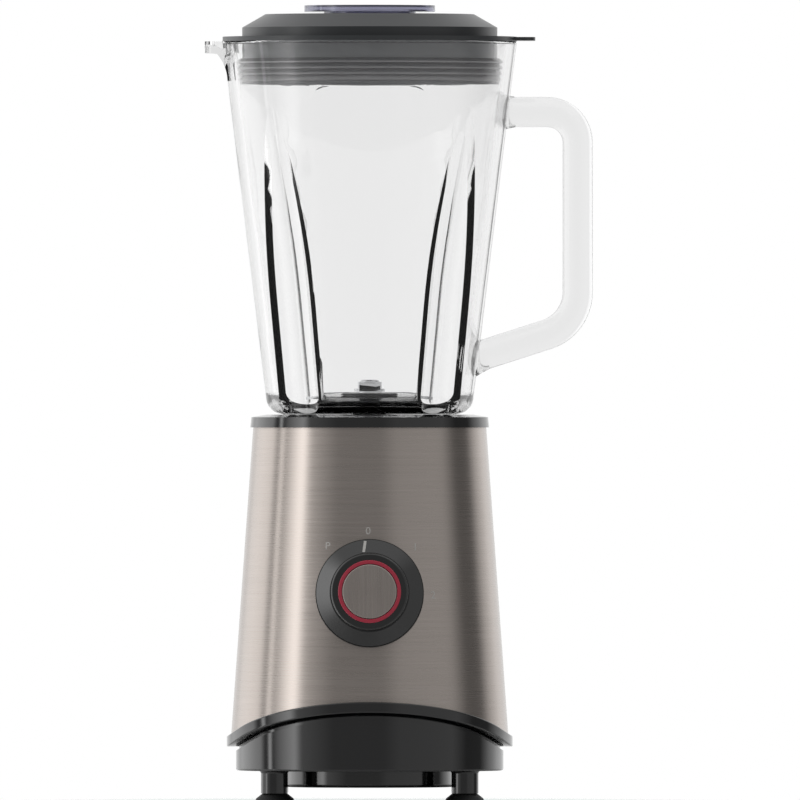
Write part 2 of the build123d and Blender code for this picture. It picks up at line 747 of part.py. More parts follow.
with BuildPart() as cooling_fan:
    with BuildSketch(Plane.XY.offset(fan_z)):
        Circle(8.0)
    extrude(amount=fan_h)
    with BuildSketch(Plane.XY.offset(fan_z + fan_h - 1.6)):
        Circle(fan_r)
    extrude(amount=1.6)
    with BuildSketch(Plane.XY.offset(fan_z)):
        with PolarLocations(18.3, 11):
            Rectangle(22.6, 1.6, rotation=18)
    extrude(amount=fan_h)
    with BuildSketch(Plane.XY.offset(fan_z)):
        Circle(shaft_r + slip)
    extrude(amount=fan_h, mode=Mode.SUBTRACT)
cooling_fan.part.label = "cooling_fan"
export_step(cooling_fan.part, "parts/cooling_fan.step")


def drive_star(grow):
    """Outline of the drive coupling: a round root with straight teeth, grown by a clearance."""
    tooth = coupling_tip_r - coupling_root_r + 2.0
    with BuildSketch() as star:
        Circle(coupling_root_r + grow)
        with PolarLocations(coupling_root_r - 2.0 + (tooth + grow) / 2, coupling_teeth):
            Rectangle(tooth + grow, 3.6 + 2 * grow)
    return star.sketch


with BuildPart() as drive_coupling:
    with BuildSketch(Plane.XY.offset(coupling_z)):
        Circle(7.0)
    extrude(amount=coupling_neck)
    with BuildSketch(Plane.XY.offset(star_z)):
        add(drive_star(0))
    extrude(amount=star_h)
    with BuildSketch(Plane.XY.offset(coupling_z)):
        Circle(shaft_r + slip)
    extrude(amount=coupling_neck + star_h, mode=Mode.SUBTRACT)
drive_coupling.part.label = "drive_coupling"
export_step(drive_coupling.part, "parts/drive_coupling.step")

# ==== Electrical parts in the base ===============================================================
switch_w, switch_h, switch_t = 30.0, 28.0, 18.0
switch_front = 4.0
bushing_out = 3.3
with BuildPart() as rotary_switch:
    with BuildSketch(knob_plane.offset(-switch_front - switch_t)):
        RectangleRounded(switch_w, switch_h, 2.0)
    extrude(amount=switch_t)
    with BuildSketch(knob_plane.offset(-switch_front)):
        Circle(8.0)
    extrude(amount=switch_front - 1.5)
    with BuildSketch(knob_plane.offset(-switch_front)):
        Circle(bushing_r)
    extrude(amount=switch_front + bushing_out)
    with BuildSketch(knob_plane.offset(-switch_front - switch_t + 2)):
        Circle(knob_shaft_r + running)
    extrude(amount=switch_front + switch_t + bushing_out, mode=Mode.SUBTRACT)
rotary_switch.part.label = "rotary_switch"
export_step(rotary_switch.part, "parts/rotary_switch.step")

with BuildPart() as switch_terminals:
    with BuildSketch(knob_plane.offset(-switch_front - switch_t)):
        with GridLocations(9.0, 16.0, 3, 2):
            Rectangle(6.3, 0.8)
    extrude(amount=-6.0)
switch_terminals.part.label = "switch_terminals"
export_step(switch_terminals.part, "parts/switch_terminals.step")

# Bezel: its back follows the cone of the sleeve, its front is flat for the knob to turn on.
bezel_front = 1.6
with BuildPart() as knob_bezel:
    with BuildSketch(knob_plane.offset(-9)):
        Circle(bezel_r)
        Circle(bezel_r - 2.6, mode=Mode.SUBTRACT)
    extrude(amount=9 + bezel_front)
    with BuildSketch(knob_plane):
        Circle(bezel_r - 1)
        Circle(bushing_r + 0.1, mode=Mode.SUBTRACT)
    extrude(amount=bezel_front)
    add(sleeve_core(), mode=Mode.SUBTRACT)
knob_bezel.part.label = "knob_bezel"
export_step(knob_bezel.part, "parts/knob_bezel.step")

with BuildPart() as switch_nut:
    with BuildSketch(knob_plane.offset(bezel_front)):
        RegularPolygon(6.5, 6, major_radius=False)
        Circle(bushing_r + slip, mode=Mode.SUBTRACT)
    extrude(amount=1.7)
switch_nut.part.label = "switch_nut"
export_step(switch_nut.part, "parts/switch_nut.step")

with BuildPart() as interlock_switch:
    with BuildSketch(Plane.XY.offset(microswitch_top_z - microswitch_h)):
        with Locations((0, pin_at)):
            Rectangle(microswitch_w, microswitch_t)
    extrude(amount=microswitch_h)
    with BuildSketch(Plane.XY.offset(microswitch_top_z)):
        with Locations((0, pin_at)):
            Circle(pin_r + pin_fit)
    extrude(amount=-8.0, mode=Mode.SUBTRACT)
interlock_switch.part.label = "interlock_switch"
export_step(interlock_switch.part, "parts/interlock_switch.step")

# The pin stands on the switch's plunger; its collar stops it under the deck.
pin_travel = 2.0
with BuildPart() as interlock_pin:
    with BuildSketch(Plane.XY.offset(microswitch_top_z - 5.0)):
        with Locations((0, pin_at)):
            Circle(pin_r)
    extrude(amount=jar_z - 0.1 - microswitch_top_z + 5.0)
    fillet(interlock_pin.edges().group_by(Axis.Z)[-1], radius=0.5)
    with BuildSketch(Plane.XY.offset(deck_under_z - guide_h - pin_travel - 0.6)):
        with Locations((0, pin_at)):
            Circle(3.0)
    extrude(amount=-1.5)
interlock_pin.part.label = "interlock_pin"
export_step(interlock_pin.part, "parts/interlock_pin.step")

with BuildPart() as suppression_capacitor:
    with BuildSketch(Plane.XY.offset(floor_top_z)):
        with Locations((0, 47.0)):
            RectangleRounded(26.0, 9.0, 1.0)
    extrude(amount=17.0)
suppression_capacitor.part.label = "suppression_capacitor"
export_step(suppression_capacitor.part, "parts/suppression_capacitor.step")

with BuildPart() as terminal_block:
    with BuildSketch(Plane.XY.offset(floor_top_z)):
        with Locations((-48.0, 0)):
            RectangleRounded(11.0, 27.0, 1.0)
    extrude(amount=10.0)
    with BuildSketch(Plane.XY.offset(floor_top_z + 10.0)):
        with Locations((-48.0, -8.5), (-48.0, 0), (-48.0, 8.5)):
            Circle(2.2)
    extrude(amount=-6.0, mode=Mode.SUBTRACT)
    with BuildSketch(Plane.YZ.offset(-53.5)):
        with Locations((-8.5, floor_top_z + 3.5), (0, floor_top_z + 3.5), (8.5, floor_top_z + 3.5)):
            Circle(1.6)
    extrude(amount=11.0, mode=Mode.SUBTRACT)
terminal_block.part.label = "terminal_block"
export_step(terminal_block.part, "parts/terminal_block.step")

# ==== Knob =======================================================================================
skirt_back = 1.9
skirt_front = 7.6  # flat that the knob's body stands on
skirt_rim_h = 3.2  # front of the rim, where the slope starts
skirt_wall = 1.6
skirt_flat_r = knob_r + 0.6
skirt_hole_r = knob_shaft_r + 4.0
pointer_w = 1.3
pointer_depth = 0.3
pointer_proud = 0.05
pointer_lean = -8
pocket_z = knob_front - 1.4
knob_axis = Axis(knob_plane.origin, knob_plane.z_dir)
knob_side = Plane(origin=knob_plane.origin, x_dir=(1, 0, 0), z_dir=Vector(1, 0, 0).cross(knob_plane.z_dir))


def skirt_cone(lift):
    """The slope of the skirt as a solid, lifted along the knob's axis."""
    with BuildPart() as cone:
        with BuildSketch(knob_side):
            Polygon(
                (0, skirt_back), (skirt_r, skirt_back), (skirt_r, skirt_rim_h + lift),
                (skirt_flat_r, skirt_front + lift), (0, skirt_front + lift), align=None,
            )
        revolve(axis=knob_axis)
    return cone.part


with BuildPart() as knob_pointer:
    with BuildSketch(knob_plane.offset(skirt_back)):
        with Locations((-2.5, (skirt_flat_r + skirt_r) / 2 - 0.2)):
            Rectangle(pointer_w, skirt_r - skirt_flat_r - 0.9, rotation=pointer_lean)
    extrude(amount=skirt_front)
    add(skirt_cone(pointer_proud), mode=Mode.INTERSECT)
    add(skirt_cone(-pointer_depth), mode=Mode.SUBTRACT)
knob_pointer.part.label = "knob_pointer"
export_step(knob_pointer.part, "parts/knob_pointer.step")

with BuildPart() as knob_skirt:
    with BuildSketch(knob_side):
        skirt_face = Polygon(
            (skirt_hole_r, skirt_front - skirt_wall), (skirt_hole_r, skirt_front),
            (skirt_flat_r, skirt_front),
            (skirt_r, skirt_rim_h), (skirt_r, skirt_back), (skirt_r - 2, skirt_back),
            (skirt_r - 2, skirt_rim_h - skirt_wall / 2),
            (skirt_flat_r - skirt_wall, skirt_front - skirt_wall),
            align=None,
        )
        rim_corner = skirt_face.vertices().sort_by_distance(knob_side.from_local_coords((skirt_r, skirt_rim_h)))[0]
        fillet(rim_corner, radius=0.6)
    revolve(axis=knob_axis)
    add(knob_pointer.part, mode=Mode.SUBTRACT)
knob_skirt.part.label = "knob_skirt"
export_step(knob_skirt.part, "parts/knob_skirt.step")

with BuildPart() as knob_body:
    with BuildSketch(knob_plane.offset(skirt_front)):
        Circle(knob_r)
    extrude(amount=knob_front - skirt_front)
    fillet(knob_body.edges().sort_by(Axis(knob_plane.origin, knob_plane.z_dir))[-1], radius=1.2)
    with BuildSketch(knob_plane.offset(skirt_front)):
        Circle(knob_r - 2.4)
        Circle(knob_shaft_r + 3.9, mode=Mode.SUBTRACT)
    extrude(amount=pocket_z - skirt_front - 1.8, mode=Mode.SUBTRACT)
    with BuildSketch(knob_plane.offset(skirt_front - 1.5)):
        Circle(knob_shaft_r + 3.9)
    extrude(amount=1.5)
    with BuildSketch(knob_plane.offset(skirt_front - 1.5)):
        Circle(knob_shaft_r + slip)
        with Locations((0, knob_shaft_r)):
            Rectangle(2 * knob_shaft_r + 1, 2.8, mode=Mode.SUBTRACT)
    extrude(amount=pocket_z - 1.2 - skirt_front + 1.5, mode=Mode.SUBTRACT)
    with BuildSketch(knob_plane.offset(pocket_z)):
        Circle(ring_r + slip)
    extrude(amount=knob_front - pocket_z, mode=Mode.SUBTRACT)
knob_body.part.label = "knob_body"
export_step(knob_body.part, "parts/knob_body.step")

with BuildPart() as knob_ring:
    with BuildSketch(knob_plane.offset(pocket_z)):
        Circle(ring_r)
        Circle(ring_inner_r, mode=Mode.SUBTRACT)
    extrude(amount=knob_front - pocket_z + 0.3)
    fillet(knob_ring.edges().group_by(Axis(knob_plane.origin, knob_plane.z_dir))[-1], radius=0.5)
knob_ring.part.label = "knob_ring"
export_step(knob_ring.part, "parts/knob_ring.step")

with BuildPart() as knob_cap:
    with BuildSketch(knob_plane.offset(pocket_z)):
        Circle(ring_inner_r - 0.2)
    extrude(amount=knob_front - pocket_z + 0.5)
    fillet(knob_cap.edges().sort_by(Axis(knob_plane.origin, knob_plane.z_dir))[-1], radius=0.5)
knob_cap.part.label = "knob_cap"
export_step(knob_cap.part, "parts/knob_cap.step")

with BuildPart() as switch_shaft:
    with BuildSketch(knob_plane.offset(-switch_front - switch_t + 3)):
        Circle(knob_shaft_r)
    extrude(amount=switch_front + switch_t - 3 + pocket_z - 1.4)
    with BuildSketch(knob_plane.offset(skirt_front - 1.6)):
        with Locations((0, knob_shaft_r + 0.1)):
            Rectangle(2 * knob_shaft_r + 1, 3.2)
    extrude(amount=10, mode=Mode.SUBTRACT)
switch_shaft.part.label = "switch_shaft"
export_step(switch_shaft.part, "parts/switch_shaft.step")

# ==== Glass jar ==================================================================================
hub_hole_r = 8.5
notch_h = 11.5
flute_bend = 600.0
flute_tip_z = jar_z + flute_tip_h
flute_knee_z = jar_z + flute_knee_h
flute_lean = jar_slope + flute_depth / (flute_tip_z - flute_knee_z)  # how the flute runs out above its knee


def flutes(radius):
    """Four rods along the jar's flutes, which follow the glass up to the knee and then lean out of it."""
    low_z = jar_body_z - jar_foot_h / 2
    knee_x = jar_radius(flute_knee_z) - flute_depth + flute_r
    low = (knee_x - jar_slope * (flute_knee_z - low_z), 0, low_z)
    high = (knee_x + flute_lean * (jar_rim_z - flute_knee_z), 0, jar_rim_z)
    with BuildPart() as rod:
        with BuildLine() as axis_line:
            FilletPolyline(low, (knee_x, 0, flute_knee_z), high, radius=flute_bend)
        with BuildSketch(Plane(origin=axis_line.line @ 0, z_dir=axis_line.line % 0)):
            Circle(radius)
        sweep(path=axis_line.line)
    with BuildPart() as rods:
        for angle in (45, 135, 225, 315):
            add(rod.part.rotate(Axis.Z, angle))
    return rods.part


with BuildPart() as jar_cavity:
    with BuildSketch(Plane.XZ):
        Polygon(
            (0, jar_floor_z), (glass_bore(jar_floor_z), jar_floor_z),
            (glass_bore(jar_rim_z - 1), jar_rim_z - 1),
            (glass_bore(jar_rim_z) + 1, jar_rim_z), (0, jar_rim_z), align=None,
        )
    revolve(axis=Axis.Z)
    fillet(jar_cavity.edges().group_by(Axis.Z)[0], radius=jar_corner_r - 1.0)
    add(flutes(flute_r + flute_wall), mode=Mode.SUBTRACT)

# Pouring lip: a nose on the rim, hollow towards the glass under it, with a channel on top.
spout_half = 15.0
spout_nose = 9.5
spout_reach = 22.0
with BuildPart() as spout:
    with BuildSketch(Plane.XY.offset(jar_rim_z - 22)):
        nose = Polygon(
            (-spout_x + spout_reach, spout_half), (-spout_x, spout_nose), (-spout_x, -spout_nose),
            (-spout_x + spout_reach, -spout_half), align=None,
        )
        fillet(nose.vertices().group_by(Axis.X)[0], radius=6.5)
    extrude(amount=22)
    with BuildSketch(Plane.XZ) as spout_side:
        with BuildLine():
            wall_low = (-jar_radius(jar_rim_z - 19.4) + 0.1, jar_rim_z - 19.4)
            lip_low = (-spout_x + 6.0, jar_rim_z - 6.1)
            Polyline(
                wall_low, (-40, jar_rim_z - 19.4), (-40, jar_rim_z), (-spout_x, jar_rim_z),
                (-spout_x, jar_rim_z - 5.7), lip_low,
            )
            ThreePointArc(lip_low, (-71.4, jar_rim_z - 11.2), wall_low)
        make_face()
    extrude(spout_side.sketch, amount=spout_half + 1, both=True, mode=Mode.INTERSECT)
with BuildPart() as spout_channel:
    with BuildSketch(Plane.XY.offset(jar_rim_z - 12)):
        inner = Polygon(
            (-46, 13.0), (-spout_x + 3.6, 6.2), (-spout_x + 3.6, -6.2), (-46, -13.0), align=None
        )
        fillet(inner.vertices().group_by(Axis.X)[0], radius=4.5)
    extrude(amount=12)
    with BuildSketch(Plane.XZ) as channel_side:
        Polygon(
            (-spout_x, jar_rim_z), (-spout_x + 3.6, jar_rim_z - 1.6), (-46, jar_rim_z - 13),
            (-46, jar_rim_z),
            align=None,
        )
    extrude(channel_side.sketch, amount=spout_half, both=True, mode=Mode.INTERSECT)

# Raised panel on the front of the glass, narrowing downwards with the taper.
panel_raise = 0.4
panel_top_z, panel_low_z = jar_z + 180.0, jar_z + 42.0
with BuildPart() as jar_panel:
    with BuildSketch(Plane.XZ.offset(jar_bottom_r / 2)):
        face = Polygon(
            (-20.4, panel_low_z), (20.4, panel_low_z), (28.2, panel_top_z), (-28.2, panel_top_z), align=None
        )
        fillet(face.vertices(), radius=6.0)
    extrude(amount=jar_top_r)
    with BuildSketch(Plane.XZ) as grown:
        Polygon(
            (0, jar_body_z), (jar_bottom_r + panel_raise, jar_body_z), (jar_top_r + panel_raise, jar_rim_z),
            (0, jar_rim_z), align=None,
        )
    revolve(grown.sketch, axis=Axis.Z, mode=Mode.INTERSECT)

with BuildPart() as whole_jar:
    add(jar_core())
    fillet(whole_jar.edges().group_by(Axis.Z)[0], radius=jar_corner_r)
    fillet(whole_jar.edges().group_by(Axis.Z)[-1], radius=1.0)
    with BuildSketch(Plane.XY.offset(jar_z)):
        Circle(foot_ring_r)
    extrude(amount=jar_floor_z - jar_z - 1)
    fillet(whole_jar.edges().group_by(Axis.Z)[0], radius=0.8)
    add(jar_panel.part)
    add(spout.part)
    add(jar_cavity.part, mode=Mode.SUBTRACT)
    add(spout_channel.part, mode=Mode.SUBTRACT)
    add(flutes(flute_r), mode=Mode.SUBTRACT)
    with BuildSketch(Plane.XY.offset(jar_z)):
        Circle(foot_ring_r - foot_ring_wall)
        with PolarLocations(lug_in + 4, 4, start_angle=45):
            Rectangle(8 + 2 * loose, lug_w + 2.4)
    extrude(amount=notch_h, mode=Mode.SUBTRACT)
    with BuildSketch(Plane.XY.offset(jar_z)):
        Circle(foot_ring_r - foot_ring_wall)
    extrude(amount=jar_under_z - jar_z, mode=Mode.SUBTRACT)
    with BuildSketch(Plane.XY.offset(jar_under_z)):
        Circle(hub_hole_r)
    extrude(amount=jar_floor, mode=Mode.SUBTRACT)

# The lip is stated by itself, as the glass that stands out from the jar's cone on the spout's side.
with BuildPart() as lip_side:
    with BuildSketch(Plane.XY.offset(jar_rim_z - jar_h / 8)):
        with Locations((-jar_top_r, 0)):
            Rectangle(jar_top_r, 2 * spout_half + 6)
    extrude(amount=jar_h / 4)
    add(jar_core(), mode=Mode.SUBTRACT)
with BuildPart() as jar_spout:
    add(whole_jar.part)
    add(lip_side.part, mode=Mode.INTERSECT)
jar_spout.part.label = "jar_spout"
export_step(jar_spout.part, "parts/jar_spout.step")

with BuildPart() as glass_jar:
    add(whole_jar.part)
    add(lip_side.part, mode=Mode.SUBTRACT)
glass_jar.part.label = "glass_jar"
export_step(glass_jar.part, "parts/glass_jar.step")

# Handle: a round glass bar bent into a D, thickened where it meets the jar.
top_arm_z = jar_z + handle_top_h
low_corner_z = jar_z + handle_low_h
root_z = jar_z + handle_root_h
root_r = jar_radius(root_z)
low_arm = Vector(handle_x - root_r, 0, low_corner_z - root_z).normalized()
with BuildPart() as jar_handle:
    with BuildLine() as handle_path:
        FilletPolyline(
            (jar_radius(top_arm_z) - 12, 0, top_arm_z), (handle_x, 0, top_arm_z),
            (handle_x, 0, low_corner_z),
            (root_r - 12 * low_arm.X, 0, root_z - 12 * low_arm.Z),
            radius=[handle_top_fillet, handle_low_fillet],
        )
    with BuildSketch(Plane(origin=handle_path.line @ 0, z_dir=handle_path.line % 0)):
        Circle(handle_r)
    sweep(path=handle_path.line)
    with BuildSketch(Plane(origin=(jar_radius(top_arm_z) - 4, 0, top_arm_z), z_dir=(1, 0, 0))):
        Circle(handle_r + 1.6)
    extrude(amount=9, taper=12)
    with BuildSketch(Plane(origin=Vector(root_r, 0, root_z) - low_arm * 4, z_dir=low_arm)):
        Circle(handle_r + 1.6)
    extrude(amount=9, taper=12)
    add(jar_core(), mode=Mode.SUBTRACT)
jar_handle.part.label = "jar_handle"
export_step(jar_handle.part, "parts/jar_handle.step")

# ==== Blade unit =================================================================================
spindle_r = 3.0
washer_t = 0.8
hub_flange_r = 14.0
hub_flange_h = 2.6
stem_outer_r = hub_hole_r - loose
spindle_bush_r = 5.5
nut_h = 4.0
bush_len = 5.0
hub_top_z = jar_floor_z + washer_t + hub_flange_h
stem_low_z = jar_under_z - 1.0 - nut_h - 0.5
blade_z = hub_top_z + 0.8
blade_t = 1.4
spacer_t = 0.8
nut_z = blade_z + 2 * blade_t + spacer_t
web_z = star_z + star_h + 0.6
socket_h = coupling_mesh
socket_r = coupling_tip_r + 2.7

with BuildPart() as blade_housing:
    with BuildSketch(Plane.XY.offset(stem_low_z)):
        Circle(stem_outer_r)
    extrude(amount=hub_top_z - stem_low_z)
    with BuildSketch(Plane.XY.offset(jar_floor_z + washer_t)):
        Circle(hub_flange_r)
    extrude(amount=hub_flange_h)
    fillet(blade_housing.edges().group_by(Axis.Z)[-1], radius=1.2)
    with BuildSketch(Plane.XY.offset(stem_low_z)):
        Circle(spindle_r + 0.5)
    extrude(amount=hub_top_z - stem_low_z, mode=Mode.SUBTRACT)
    with BuildSketch(Plane.XY.offset(stem_low_z)):
        Circle(spindle_bush_r + slip)
    extrude(amount=bush_len, mode=Mode.SUBTRACT)
    with BuildSketch(Plane.XY.offset(hub_top_z)):
        Circle(spindle_bush_r + slip)
    extrude(amount=-bush_len, mode=Mode.SUBTRACT)
blade_housing.part.label = "blade_housing"
export_step(blade_housing.part, "parts/blade_housing.step")

with BuildPart() as spindle_bushes:
    for z in (stem_low_z, hub_top_z - bush_len):
        with BuildSketch(Plane.XY.offset(z)):
            Circle(spindle_bush_r)
            Circle(spindle_r + running, mode=Mode.SUBTRACT)
        extrude(amount=bush_len)
spindle_bushes.part.label = "spindle_bushes"
export_step(spindle_bushes.part, "parts/spindle_bushes.step")

with BuildPart() as jar_seals:
    for z in (jar_floor_z, jar_under_z - 1.0):
        with BuildSketch(Plane.XY.offset(z)):
            Circle(hub_flange_r - 0.8)
            Circle(hub_hole_r + 0.2, mode=Mode.SUBTRACT)
        extrude(amount=washer_t if z > jar_under_z else 1.0)
jar_seals.part.label = "jar_seals"
export_step(jar_seals.part, "parts/jar_seals.step")

with BuildPart() as housing_nut:
    with BuildSketch(Plane.XY.offset(jar_under_z - 1.0 - nut_h)):
        RegularPolygon(12.0, 6, major_radius=False)
        Circle(stem_outer_r + slip, mode=Mode.SUBTRACT)
    extrude(amount=nut_h)
housing_nut.part.label = "housing_nut"
export_step(housing_nut.part, "parts/housing_nut.step")

with BuildPart() as blade_spindle:
    with BuildSketch(Plane.XY.offset(web_z - 1.5)):
        Circle(spindle_r)
    extrude(amount=nut_z + 2.2 - web_z + 1.5)
blade_spindle.part.label = "blade_spindle"
export_step(blade_spindle.part, "parts/blade_spindle.step")


def cross_blade(z, turn, bend, reach):
    """A flat hub with two wings bent up or down from it, sharpened along the leading edge."""
    with BuildPart() as blade:
        with BuildSketch(Plane.XY.offset(z)):
            Circle(7.5)
            Rectangle(20.0, 10.0, rotation=turn)
        extrude(amount=blade_t)
        for angle in (turn, turn + 180):
            out = Vector(cos(radians(angle)), sin(radians(angle)), 0)
            across = Vector(-out.Y, out.X, 0)
            along = out * cos(radians(bend)) + Vector(0, 0, sin(radians(bend)))
            root = out * 9.2 + Vector(0, 0, z)
            with BuildSketch(Plane(origin=root, x_dir=across, z_dir=along)):
                Polygon((-5, 0), (3, 0), (5, 0.5 * blade_t), (3, blade_t), (-5, blade_t), align=None)
            extrude(amount=reach - 9.2)
            tip = out * reach + Vector(0, 0, z)
            with BuildSketch(Plane(origin=tip, x_dir=out, z_dir=(0, 0, 1)).offset(-20)):
                Polygon((4, 8), (-9, 8), (1, -8), (4, -8), align=None)
            extrude(amount=40, mode=Mode.SUBTRACT)
        with BuildSketch(Plane.XY.offset(z - 1)):
            Circle(spindle_r + slip)
        extrude(amount=blade_t + 2, mode=Mode.SUBTRACT)
    return blade


lower_blade = cross_blade(blade_z, 0, -5, 29.0)
lower_blade.part.label = "lower_blade"
export_step(lower_blade.part, "parts/lower_blade.step")

upper_blade = cross_blade(blade_z + blade_t + spacer_t, 90, 11, 27.0)
upper_blade.part.label = "upper_blade"
export_step(upper_blade.part, "parts/upper_blade.step")

with BuildPart() as blade_spacers:
    for z, height in ((hub_top_z + 0.3, blade_z - hub_top_z - 0.3), (blade_z + blade_t, spacer_t)):
        with BuildSketch(Plane.XY.offset(z)):
            Circle(6.0)
            Circle(spindle_r + slip, mode=Mode.SUBTRACT)
        extrude(amount=height)
blade_spacers.part.label = "blade_spacers"
export_step(blade_spacers.part, "parts/blade_spacers.step")

with BuildPart() as blade_nut:
    with BuildSketch(Plane.XY.offset(nut_z)):
        RegularPolygon(5.0, 6, major_radius=False)
    extrude(amount=3.4)
    with BuildSketch(Plane.XY.offset(nut_z + 2.4)):
        Circle(4.6)
    extrude(amount=2.0)
    fillet(blade_nut.edges().group_by(Axis.Z)[-1], radius=0.9)
    with BuildSketch(Plane.XY.offset(nut_z)):
        Circle(spindle_r + slip)
    extrude(amount=2.3, mode=Mode.SUBTRACT)
blade_nut.part.label = "blade_nut"
export_step(blade_nut.part, "parts/blade_nut.step")

with BuildPart() as driven_coupling:
    with BuildSketch(Plane.XY.offset(web_z - 0.6 - socket_h)):
        Circle(socket_r)
    extrude(amount=socket_h + 3.0)
    with BuildSketch(Plane.XY.offset(web_z - 0.6 - socket_h)):
        add(drive_star(tooth_gap))
    extrude(amount=socket_h, mode=Mode.SUBTRACT)
    with BuildSketch(Plane.XY.offset(web_z - 1.0)):
        Circle(spindle_r + slip)
    extrude(amount=5.0, mode=Mode.SUBTRACT)
driven_coupling.part.label = "driven_coupling"
export_step(driven_coupling.part, "parts/driven_coupling.step")

# ==== Lid and measuring cap ======================================================================
lid_under_z = lid_z + lid_flange_t
plug_z = lid_z - lid_plug_h
cap_hole_r = cap_tube_r + loose
seat_r = cap_hole_r + lid_wall
seat_h = 9.0
gasket_h = 11.5
bead_h = 1.2
with BuildPart() as jar_lid:
    with BuildSketch(Plane.XZ):
        with BuildLine():
            Polyline(
                (seat_r + slip, lid_top_z), (lid_top_r, lid_top_z), (lid_dome_r, lid_z + lid_side_h),
                (lid_dome_r, lid_under_z), (jar_top_r, lid_under_z), (jar_top_r, lid_z),
                (lid_plug_r, lid_z), (lid_plug_r, plug_z + bead_h), (lid_plug_r + 1.0, plug_z + bead_h),
                (lid_plug_r + 1.0, plug_z), (lid_plug_r - lid_wall, plug_z),
                (lid_plug_r - lid_wall, lid_z + 4),
                (lid_top_r - 1, lid_top_z - lid_wall), (seat_r + slip, lid_top_z - lid_wall), close=True,
            )
        outline = make_face()
        fillet(outline.vertices().sort_by_distance((lid_top_r, 0, lid_top_z))[0], radius=3.0)
        fillet(outline.vertices().sort_by_distance((lid_dome_r, 0, lid_z + lid_side_h))[0], radius=2.0)
        fillet(outline.vertices().sort_by_distance((jar_top_r, 0, lid_under_z))[0], radius=0.8)
    revolve(axis=Axis.Z)
    with BuildSketch(Plane.XY.offset(lid_z + 0.4)):
        with Locations((jar_top_r + 1.0, 0)):
            tab = Rectangle(16.0, 26.0)
        fillet(tab.vertices().group_by(Axis.X)[-1], radius=6.0)
    extrude(amount=1.7)
jar_lid.part.label = "jar_lid"
export_step(jar_lid.part, "parts/jar_lid.step")

# Ring pressed into the lid's hole, which the measuring cap's tube slides in.
with BuildPart() as cap_seat:
    with BuildSketch(Plane.XY.offset(lid_top_z - seat_h)):
        Circle(seat_r)
        Circle(cap_hole_r, mode=Mode.SUBTRACT)
    extrude(amount=seat_h)
    chamfer(cap_seat.edges().group_by(Axis.Z)[0], length=0.4)
cap_seat.part.label = "cap_seat"
export_step(cap_seat.part, "parts/cap_seat.step")

with BuildPart() as lid_gasket:
    gasket_z = plug_z + bead_h
    with BuildSketch(Plane.XZ):
        with BuildLine():
            rib_pitch = gasket_h / 4
            points = [(lid_plug_r + slip, gasket_z), (lid_plug_r + slip, gasket_z + gasket_h)]
            points += [(lid_plug_r + 0.9, gasket_z + gasket_h)]
            for n in range(3, -1, -1):
                low = gasket_z + n * rib_pitch
                points += [(glass_bore(low) - seal_gap, low + 1.3), (glass_bore(low) - seal_gap, low + 0.6)]
                points += [(lid_plug_r + 0.9, low)]
            Polyline(*points, close=True)
        make_face()
    revolve(axis=Axis.Z)
lid_gasket.part.label = "lid_gasket"
export_step(lid_gasket.part, "parts/lid_gasket.step")

cap_z = lid_top_z + cap_neck_h
with BuildPart() as measuring_cap:
    with BuildSketch(Plane.XZ):
        with BuildLine():
            Polyline(
                (0, cap_z + 1.0), (0, cap_z + cap_flange_t - 0.9),
                (cap_flange_r - 6, cap_z + cap_flange_t - 0.9),
                (cap_flange_r - 5, cap_z + cap_flange_t), (cap_flange_r, cap_z + cap_flange_t),
                (cap_flange_r, cap_z), (cap_neck_r, cap_z), (cap_neck_r, lid_top_z),
                (cap_tube_r, lid_top_z),
                (cap_tube_r - 0.7, cap_z - cap_tube_h), (cap_tube_r - 0.7 - cap_wall, cap_z - cap_tube_h),
                (cap_tube_r - cap_wall, cap_z), (cap_tube_r - cap_wall - 1, cap_z + 1.0), close=True,
            )
        cap_face = make_face()
        rim = [(cap_flange_r, 0, cap_z + cap_flange_t), (cap_flange_r, 0, cap_z)]
        fillet([cap_face.vertices().sort_by_distance(p)[0] for p in rim], radius=1.0)
    revolve(axis=Axis.Z)
measuring_cap.part.label = "measuring_cap"
export_step(measuring_cap.part, "parts/measuring_cap.step")
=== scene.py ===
import bpy
import math
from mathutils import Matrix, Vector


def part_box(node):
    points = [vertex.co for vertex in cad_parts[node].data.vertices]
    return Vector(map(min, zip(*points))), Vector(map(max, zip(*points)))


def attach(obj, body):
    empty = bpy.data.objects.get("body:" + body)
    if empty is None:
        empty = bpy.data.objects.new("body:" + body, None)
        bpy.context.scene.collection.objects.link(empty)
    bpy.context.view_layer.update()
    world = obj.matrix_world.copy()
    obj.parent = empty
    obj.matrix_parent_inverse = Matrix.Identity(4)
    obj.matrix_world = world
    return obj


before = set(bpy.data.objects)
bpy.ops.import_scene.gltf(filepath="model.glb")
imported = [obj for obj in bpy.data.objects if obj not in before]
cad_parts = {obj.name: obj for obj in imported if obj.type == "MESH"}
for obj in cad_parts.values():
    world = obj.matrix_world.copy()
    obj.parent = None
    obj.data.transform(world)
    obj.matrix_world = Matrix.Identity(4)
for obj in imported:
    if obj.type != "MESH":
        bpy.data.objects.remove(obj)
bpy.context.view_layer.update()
scene = bpy.context.scene

# Camera: a long lens far off on the knob's side, level with the middle of the object, so that
# its upright lines stay upright. Colours go to the picture as they are, with no film curve.
camera_lens = bpy.data.cameras.new("camera")
camera_lens.lens = 1500
camera_lens.sensor_width = 36
camera_lens.clip_end = 100
camera = bpy.data.objects.new("camera", camera_lens)
camera.location = (0.0148, -16.3, 0.1971)
camera.rotation_euler = (math.radians(90), 0, 0)
scene.collection.objects.link(camera)
scene.camera = camera
scene.view_settings.view_transform = "Standard"


